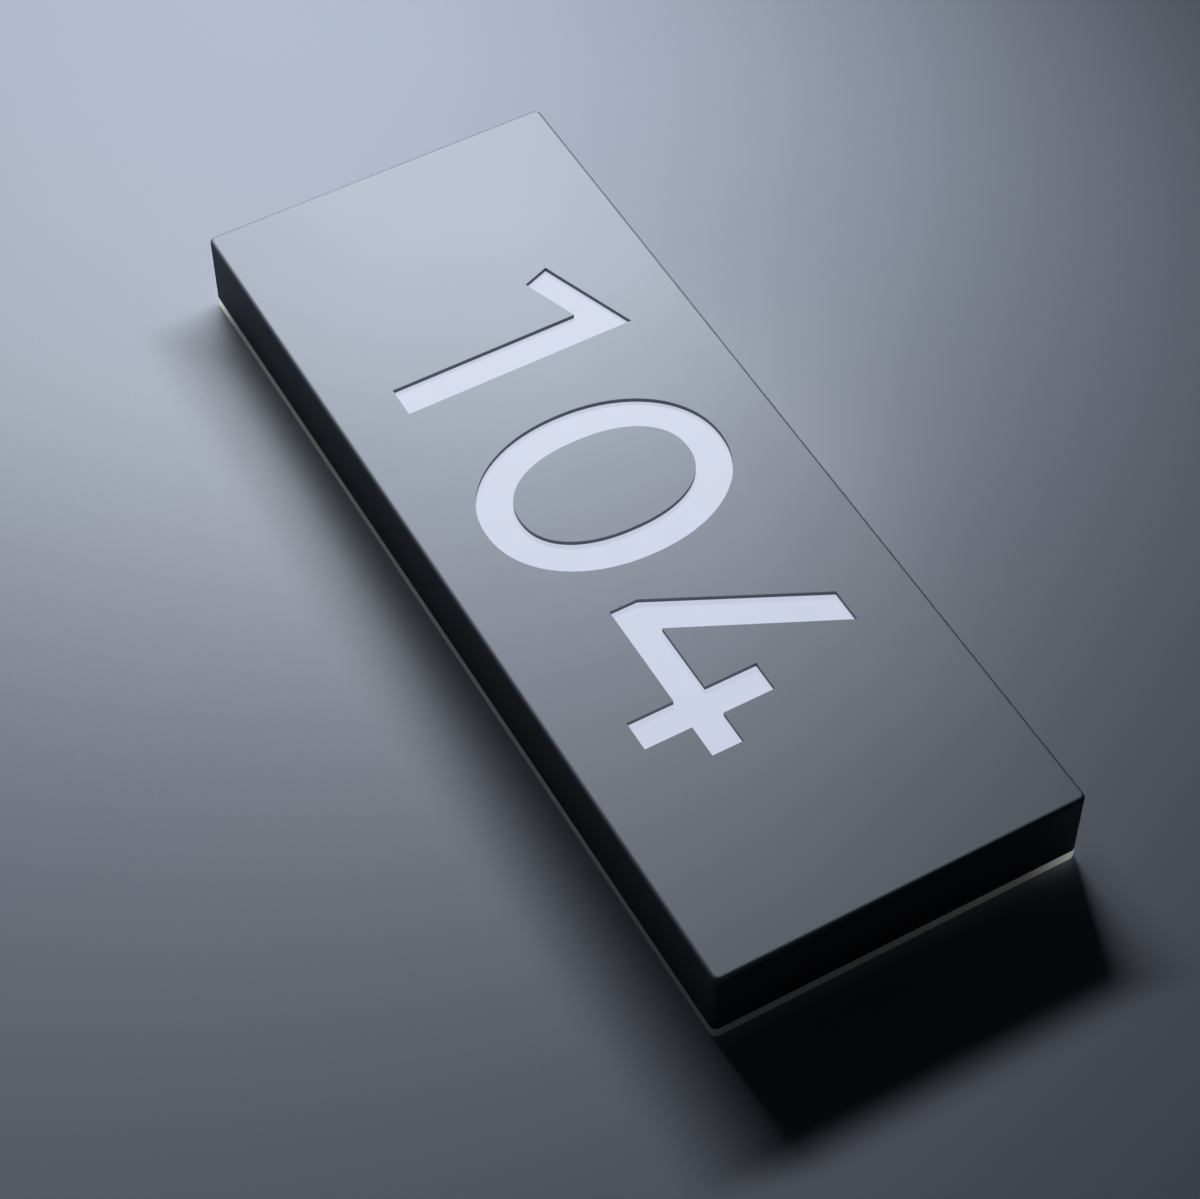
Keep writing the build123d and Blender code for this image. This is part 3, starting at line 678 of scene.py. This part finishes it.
class SIGN_OT_fasteners(bpy.types.Operator):
    """Threaded screws with cross slots, and the standoffs that they go into"""

    bl_idname = "sign.fasteners"
    bl_label = "Screws and standoffs"

    def execute(self, context):
        steel = steel_finish()
        # Node, outline from head to shank, thread's pitch, nominal length, columns of screws.
        kinds = (
            ("cover_screws", countersunk_outline(1.5 * MM, 3.0 * MM), 0.5 * MM, 9 * MM, (-1, 0, 1)),
            ("led_board_screws", pan_outline(1.5 * MM, 2.8 * MM, 1.8 * MM), 0.5 * MM, 8 * MM, (-1, 1)),
            ("driver_screws", pan_outline(1.25 * MM, 2.3 * MM, 1.4 * MM), 0.45 * MM, 5 * MM, (-1, 1)),
        )
        for node, outline, pitch, length, columns in kinds:
            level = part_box(node)[0].z - outline[0, 1]
            places = corner_places(node, outline[:, 0].max(), level, columns)
            if node == "led_board_screws":
                places += [(x, 0.0, level) for x, y, z in places[::2]]
            name = node.replace("screws", "threaded_screws")
            surface = repeated(screw_surface(outline, pitch, length), places)
            piece(name, surface, steel, "sign_head", "stainless_steel", node)
        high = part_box("light_standoffs")[1]
        standoff = 3.5 * MM
        dress(zinc_finish("zinc_standoff", high.x - standoff, high.y - standoff), "light_standoffs")
        dress(zinc_finish("zinc_spacer", high.x, high.y), "driver_standoffs")
        return {"FINISHED"}


# ---------------------------------------------------------------- light box
class SIGN_OT_light_frame(bpy.types.Operator):
    """Matt white frame round the light"""

    bl_idname = "sign.light_frame"
    bl_label = "Light frame"

    def execute(self, context):
        finish = Finish("frame_white", IOR=1.5)
        grain = finish.noise(2600, 3.0, 0.6)
        finish.feed("Base Color", finish.mix(grain, (0.80, 0.80, 0.78, 1), (0.87, 0.87, 0.85, 1)))
        finish.feed("Roughness", 0.5 + grain * 0.2)
        finish.relief(grain, 0.012 * MM, 0.6)
        dress(finish, "light_frame")
        return {"FINISHED"}


class SIGN_OT_light_board(bpy.types.Operator):
    """White board with its tracks and pads, the diodes and a phosphor dome on each"""

    bl_idname = "sign.light_board"
    bl_label = "Light board"

    def execute(self, context):
        self.board()
        self.diodes(context.scene.sign_sizes)
        return {"FINISHED"}

    def board(self):
        finish = Finish("light_circuit", IOR=1.5)
        column, row = finish.axis("X") % LED_PITCH, finish.axis("Y") % LED_PITCH
        half_track, half_pad_x, half_pad_y = 1.0 * MM, 2.7 * MM, 1.2 * MM
        front = finish.within(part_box("led_board")[1].z - finish.axis("Z"), 0.1 * MM)
        printed = finish.inside(86 * MM, 36 * MM) * front
        track = finish.within(row, half_track) * printed
        pad = finish.within(column, half_pad_x) * finish.within(row, half_pad_y) * printed
        mask = finish.mix(track, (0.83, 0.84, 0.82, 1), (0.74, 0.75, 0.72, 1))
        finish.feed("Base Color", finish.mix(pad, mask, (0.66, 0.65, 0.62, 1)))
        finish.feed("Metallic", pad)
        finish.feed("Roughness", 0.35 + finish.noise(1800) * 0.12)
        finish.relief(track + pad, 0.035 * MM, 0.7)
        dress(finish, "led_board")

    def diodes(self, sizes):
        low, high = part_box("leds")
        columns, rows = 11, 5
        along = np.linspace(low.x + sizes.led_length / 2, high.x - sizes.led_length / 2, columns)
        across = np.linspace(low.y + sizes.led_width / 2, high.y - sizes.led_width / 2, rows)
        places = [(x, y, high.z) for x in along for y in across]
        package = Finish("led_package", Roughness=0.4)
        from_middle = diagonal(package.axis("X") % LED_PITCH, package.axis("Y") % LED_PITCH)
        well = package.within(from_middle, sizes.dome_radius + 0.1 * MM)
        package.feed("Base Color", package.mix(well, (0.85, 0.84, 0.80, 1), (0.86, 0.62, 0.10, 1)))
        package.relief(well, -0.05 * MM, 0.8)
        dress(package, "leds")
        dome = Finish("led_phosphor", Roughness=0.25, Emission_Strength=1.0)
        speckle = dome.noise(6000, 2.0, 0.5)
        dome.feed("Base Color", dome.mix(speckle, (0.85, 0.58, 0.07, 1), (0.93, 0.72, 0.20, 1)))
        dome.feed("Emission Color", dome.mix(speckle, (0.95, 0.92, 0.86, 1), (1.0, 0.98, 0.93, 1)))
        profile = dome_profile(sizes.dome_radius, sizes.dome_height)
        piece("led_domes", repeated(turned(*profile, steps=14), places), dome, "sign_head", "led_lens")


# ---------------------------------------------------------------- driver
class SIGN_OT_driver(bpy.types.Operator):
    """Driver board with its coil, chip and rectifier diodes"""

    bl_idname = "sign.driver"
    bl_label = "Driver"

    def execute(self, context):
        self.board(np.array(context.scene.sign_finishes.mask_colour))
        self.mouldings()
        return {"FINISHED"}

    def board(self, colour):
        finish = Finish("driver_circuit", IOR=1.5, Coat_Roughness=0.1)
        weave = finish.noise(1500, 2.0, 0.5, finish.stretched(1.0, 0.25, 1.0))
        cells = finish.node(
            "ShaderNodeTexVoronoi",
            {"feature": "DISTANCE_TO_EDGE", "distance": "EUCLIDEAN"},
            {"Vector": finish.stretched(1.0, 0.6, 1.0), "Scale": 260.0, "Randomness": 0.35},
            "Distance",
        )
        track = finish.span(cells, 0.16, 0.12)
        low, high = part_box("driver_screws")
        head_radius, pad_radius = 2.3 * MM, 2.9 * MM
        middle, half = (low + high) / 2, (high - low) / 2
        across = abs(finish.axis("X") - middle.x) - (half.x - head_radius)
        along = abs(finish.axis("Y") - middle.y) - (half.y - head_radius)
        ring = finish.within(diagonal(across, along), pad_radius)
        mask = finish.mix(track, rgb(colour), rgb(1.6 * colour))
        finish.feed("Base Color", finish.mix(ring, mask, (0.70, 0.69, 0.66, 1)))
        finish.feed("Metallic", ring)
        finish.feed("Roughness", 0.28 + weave * 0.15)
        finish.relief(track + weave * 0.2, 0.03 * MM, 0.6)
        dress(finish, "driver_board")

    def mouldings(self):
        self.moulding("coil_ferrite", "driver_coil")
        self.moulding("chip_moulding", "driver_chip", self.dot, 0.012)
        self.moulding("diode_moulding", "driver_diodes", self.band, 0.5)

    def moulding(self, name, node, mark=None, ink=None):
        """Grainy black ferrite or plastic, printed in grey where its mark is 1."""
        finish = Finish(name, IOR=1.5)
        grain = finish.noise(3800, 3.0, 0.65)
        colour = finish.mix(grain, (0.020, 0.020, 0.021, 1), (0.040, 0.040, 0.041, 1))
        if mark:
            colour = finish.mix(mark(finish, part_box(node)[0]), colour, (ink, ink, ink, 1))
        finish.feed("Base Color", colour)
        finish.feed("Roughness", 0.55 + grain * 0.25)
        finish.relief(grain, 0.01 * MM, 0.7)
        dress(finish, node)

    def dot(self, finish, corner):
        """1 in a small circle beside the low corner."""
        x, y = finish.axis("X") - (corner.x + 0.9 * MM), finish.axis("Y") - (corner.y + 2.0 * MM)
        return finish.within(diagonal(x, y), 0.3 * MM)

    def band(self, finish, corner):
        """1 in a stripe across the end at the low corner."""
        return finish.within(abs(finish.axis("X") - (corner.x + 0.9 * MM)), 0.35 * MM)


class SIGN_OT_capacitors(bpy.types.Operator):
    """Two aluminium cans with a crimped groove over black bases, hanging from the board"""

    bl_idname = "sign.capacitors"
    bl_label = "Capacitors"

    def execute(self, context):
        sizes = context.scene.sign_sizes
        low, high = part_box("driver_capacitors")
        radius, foot = sizes.capacitor_radius, high.z - sizes.capacitor_base
        middle, steps = (low.x + high.x) / 2, 72
        can = turned(*can_profile(radius, low.z, foot), steps=steps)
        base = rounded_square(radius, foot, high.z, steps)
        places = [(middle, y, 0) for y in (low.y + radius, high.y - radius)]
        surface = repeated(joined(can, base), places)
        finish = self.can_finish(low, foot, middle)
        piece("capacitor_cans", surface, finish, "sign_head", "capacitor_can", "driver_capacitors")
        return {"FINISHED"}

    def can_finish(self, low, foot, middle):
        """Drawn aluminium with a scored, marked end, over the black plastic of the base."""
        finish = Finish("can_aluminium")
        x, z = finish.axis("X"), finish.axis("Z")
        lines = finish.noise(3500, 2.0, 0.5, finish.stretched(1.0, 1.0, 0.1))
        base = finish.within(foot - z, 0.02 * MM)
        mark = finish.within(x, low.x + 1.6 * MM) * finish.within(z - low.z, 0.3 * MM)
        score = finish.within(abs(x - middle), 0.12 * MM)
        aluminium = finish.mix(lines, (0.58, 0.59, 0.60, 1), (0.74, 0.75, 0.76, 1))
        marked = finish.mix(mark, aluminium, (0.02, 0.02, 0.025, 1))
        finish.feed("Base Color", finish.mix(base, marked, (0.025, 0.025, 0.026, 1)))
        finish.feed("Metallic", (1 - base) * (1 - mark))
        finish.feed("Roughness", 0.28 + lines * 0.15 + base * 0.25)
        finish.relief(lines * 0.1 - score, 0.03 * MM, 0.5)
        return finish


class SIGN_OT_wiring(bpy.types.Operator):
    """Link wires, and a solder cone where each wire or contact leg meets its board"""

    bl_idname = "sign.wiring"
    bl_label = "Wiring and solder"

    def execute(self, context):
        sheath = Finish("wire_insulation", IOR=1.5)
        lines = sheath.noise(2400, 2.0, 0.5, sheath.stretched(0.2, 1.0, 1.0))
        sheath.feed("Base Color", sheath.mix(lines, (0.74, 0.74, 0.72, 1), (0.84, 0.84, 0.82, 1)))
        sheath.feed("Roughness", 0.4 + lines * 0.2)
        sheath.relief(lines, 0.01 * MM, 0.5)
        dress(sheath, "link_leads")
        tin = Finish("solder_tin", Metallic=1.0)
        ripple = tin.noise(1500, 3.0, 0.6)
        tin.feed("Base Color", tin.mix(ripple, (0.58, 0.57, 0.55, 1), (0.74, 0.73, 0.71, 1)))
        tin.feed("Roughness", 0.18 + ripple * 0.2)
        tin.relief(ripple, 0.02 * MM, 0.4)
        piece("solder_joints", self.solder(), tin, "sign_head", "tinned_copper")
        dress(tin, "terminal_contacts")
        return {"FINISHED"}

    def solder(self):
        """A cone down at both ends of each link wire and a cone up at each contact's leg."""
        low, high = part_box("link_leads")
        wire, leg, leg_inset = 0.6 * MM, 0.5 * MM, 1.8 * MM
        board_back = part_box("led_board")[0].z
        wire_ends = []
        for y in (low.y + wire, high.y - wire):
            wire_ends += [(low.x + wire, y, board_back), (high.x - wire, y, high.z)]
        down = repeated(turned(*cone_profile(wire, -1.0 * MM), steps=24), wire_ends)
        low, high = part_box("terminal_contacts")
        rows = (low.y + leg_inset, high.y - leg_inset)
        leg_ends = [((low.x + high.x) / 2, y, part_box("driver_board")[1].z) for y in rows]
        up = repeated(turned(*cone_profile(leg, 0.75 * MM), steps=24), leg_ends)
        return joined(down, up)


class SIGN_OT_terminal(bpy.types.Operator):
    """Terminal block and its two push buttons"""

    bl_idname = "sign.terminal"
    bl_label = "Terminal"

    def execute(self, context):
        block = Finish("terminal_grey", IOR=1.5)
        grain = block.noise(2800, 3.0, 0.6)
        block.feed("Base Color", block.mix(grain, (0.44, 0.45, 0.46, 1), (0.52, 0.53, 0.54, 1)))
        block.feed("Roughness", 0.45 + grain * 0.2)
        block.relief(grain, 0.012 * MM, 0.6)
        dress(block, "terminal_block")
        button = Finish("button_orange", IOR=1.5)
        colour = np.array(context.scene.sign_finishes.button_colour)
        speckle = button.noise(2200, 2.0, 0.5)
        rib_pitch, rib_half, rib_soft = 0.8 * MM, 0.2 * MM, 0.06 * MM
        ribs = button.within(button.axis("X") % rib_pitch, rib_half, rib_soft)
        button.feed("Base Color", button.mix(speckle, rgb(0.92 * colour), rgb(colour)))
        button.feed("Roughness", 0.3 + speckle * 0.15)
        button.relief(ribs, 0.12 * MM, 0.7)
        dress(button, "terminal_button_1", "terminal_button_2")
        return {"FINISHED"}


# ---------------------------------------------------------------- back
class SIGN_OT_rear_cover(bpy.types.Operator):
    """Moulded rear cover and the flat gasket under its rim"""

    bl_idname = "sign.rear_cover"
    bl_label = "Rear cover"

    def execute(self, context):
        look = context.scene.sign_finishes
        finish = Finish("cover_moulding", IOR=1.5)
        colour = np.array(look.cover_colour)
        spark = finish.noise(2200, 4.0, 0.7)
        flow = finish.noise(25, 3.0, 0.6)
        finish.feed("Base Color", finish.mix(spark, rgb(0.85 * colour), rgb(1.25 * colour)))
        finish.feed("Roughness", 0.48 + spark * 0.2 + (flow - 0.5) * 0.08)
        finish.relief(spark, 0.02 * MM, 0.7)
        dress(finish, "rear_cover")
        dress(rubber_finish("gasket_rubber", look.rubber_colour), "cover_gasket")
        return {"FINISHED"}


def rubber_finish(name, colour):
    """Matt rubber with a little bloom on its high spots."""
    finish = Finish(name, IOR=1.5)
    colour = np.array(colour)
    bloom = finish.noise(900, 4.0, 0.7)
    finish.feed("Base Color", finish.mix(finish.span(bloom, 0.45, 0.8), rgb(colour), rgb(2.2 * colour)))
    finish.feed("Roughness", 0.62 + bloom * 0.25)
    finish.relief(bloom, 0.015 * MM, 0.6)
    return finish


class SIGN_OT_grommet(bpy.types.Operator):
    """Rubber grommet: two flanges with rounded lips round the lead's bore"""

    bl_idname = "sign.grommet"
    bl_label = "Grommet"

    def execute(self, context):
        sizes = context.scene.sign_sizes
        low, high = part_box("lead_grommet")
        place = ((low.x + high.x) / 2, (low.y + high.y) / 2, 0)
        outline = self.outline(sizes.grommet_bore, sizes.grommet_neck, (high.x - low.x) / 2, low.z, high.z)
        surface = repeated(turned(*np.array(outline).T, steps=96), [place])
        finish = rubber_finish("grommet_rubber", context.scene.sign_finishes.rubber_colour)
        piece("grommet_ring", surface, finish, "sign_head", "black_rubber", "lead_grommet")
        return {"FINISHED"}

    def outline(self, bore, neck, flange, back, front):
        """Radius and height once round the ring: back flange, neck, tapered front flange, bore."""
        flange_depth, cover_wall, lip, edge = 1.1 * MM, 2.0 * MM, 0.35 * MM, 0.1 * MM
        cover_back = back + flange_depth
        cover_front = cover_back + cover_wall
        return [
            (bore, back + lip), (bore + edge, back + edge), (bore + lip, back),
            (flange - lip, back), (flange - edge, back + edge), (flange, back + lip),
            (flange, cover_back - edge), (flange - edge, cover_back), (neck, cover_back),
            (neck, cover_front), (flange - edge, cover_front),
            (flange - 0.05 * MM, cover_front + 0.15 * MM), (flange - 0.6 * MM, front - lip),
            (flange - 0.75 * MM, front - edge), (flange - 1.0 * MM, front),
            (bore + lip, front), (bore + edge, front - edge), (bore, front - lip), (bore, back + lip),
        ]


PIECES = (
    SIGN_OT_housing,
    SIGN_OT_diffuser,
    SIGN_OT_wall_plate,
    SIGN_OT_wall_hardware,
    SIGN_OT_light_frame,
    SIGN_OT_light_board,
    SIGN_OT_driver,
    SIGN_OT_capacitors,
    SIGN_OT_wiring,
    SIGN_OT_terminal,
    SIGN_OT_rear_cover,
    SIGN_OT_grommet,
    SIGN_OT_magnets,
    SIGN_OT_fasteners,
)
SETTINGS = {"sign_finishes": SignFinishes, "sign_sizes": SignSizes, "sign_stage": SignStage}


# ---------------------------------------------------------------- panel
class SIGN_PT_panel(bpy.types.Panel):
    """Lists the pieces and the stage, with the sizes and colours that a user may change"""

    bl_idname = "SIGN_PT_panel"
    bl_label = "House number sign"
    bl_space_type = "VIEW_3D"
    bl_region_type = "UI"
    bl_category = "Sign"

    def draw(self, context):
        for settings in SETTINGS:
            group = getattr(context.scene, settings)
            box = self.layout.box()
            for name in group.__annotations__:
                box.prop(group, name)
        for operator in (SIGN_OT_stage, *PIECES):
            self.layout.operator(operator.bl_idname)


CLASSES = (*SETTINGS.values(), SIGN_OT_stage, *PIECES, SIGN_PT_panel)


def register():
    for each in CLASSES:
        bpy.utils.register_class(each)
    for name, group in SETTINGS.items():
        setattr(bpy.types.Scene, name, PointerProperty(type=group))


def unregister():
    for name in SETTINGS:
        delattr(bpy.types.Scene, name)
    for each in reversed(CLASSES):
        bpy.utils.unregister_class(each)


def main():
    register()
    for operator in (SIGN_OT_stage, *PIECES):
        getattr(bpy.ops.sign, operator.bl_idname.removeprefix("sign."))()


if __name__ == "__main__":
    main()
